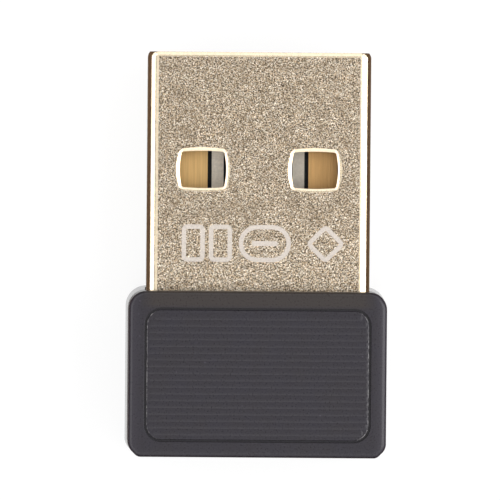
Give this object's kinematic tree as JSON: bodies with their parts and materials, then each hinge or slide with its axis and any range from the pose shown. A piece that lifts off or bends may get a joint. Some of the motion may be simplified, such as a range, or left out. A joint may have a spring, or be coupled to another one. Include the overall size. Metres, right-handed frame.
{
  "type": "usb bluetooth adapter",
  "caption": "Nano plug-in radio adapter: a folded metal plug shell with windows, set in a short dark plastic housing with a grooved border and a ridged panel.",
  "frame": {"origin": "middle of the overall box, on the flat back of the rear cover", "axes": "+Y towards the plug's tip, +Z out of the ridged face, +X to the right seen from above with the plug up"},
  "size_m": [0.0142, 0.022, 0.007],
  "materials": {
    "housing_plastic": "fine satin, dark grey",
    "plug_metal": "bead-blasted champagne plating, bright on its bends and rims",
    "carrier_plastic": "moulded, grey",
    "contact_plating": "gold flash, satin",
    "board_laminate": "solder mask, green",
    "chip_moulding": "moulded, black",
    "crystal_lid": "nickel, satin",
    "antenna_ceramic": "white ceramic with tinned ends",
    "capacitor_ceramic": "tan ceramic with tinned ends",
    "resistor_ceramic": "dark glaze with tinned ends"
  },
  "bodies": {
    "root": {"front_cover": "housing_plastic", "rear_cover": "housing_plastic", "plug_shell": "plug_metal", "contact_carrier": "carrier_plastic", "vbus_contact": "contact_plating", "data_minus_contact": "contact_plating", "data_plus_contact": "contact_plating", "ground_contact": "contact_plating", "circuit_board": "board_laminate", "radio_chip": "chip_moulding", "memory_chip": "chip_moulding", "voltage_regulator": "chip_moulding", "surge_guard": "chip_moulding", "crystal": "crystal_lid", "chip_antenna": "antenna_ceramic", "antenna_inductor": "antenna_ceramic", "supply_bead": "resistor_ceramic", "bias_resistor": "resistor_ceramic", "reset_resistor": "resistor_ceramic", "antenna_capacitor": "capacitor_ceramic", "crystal_capacitor_left": "capacitor_ceramic", "crystal_capacitor_right": "capacitor_ceramic", "supply_capacitor_1": "capacitor_ceramic", "supply_capacitor_2": "capacitor_ceramic", "supply_capacitor_3": "capacitor_ceramic", "supply_capacitor_4": "capacitor_ceramic"}
  },
  "joints": []
}
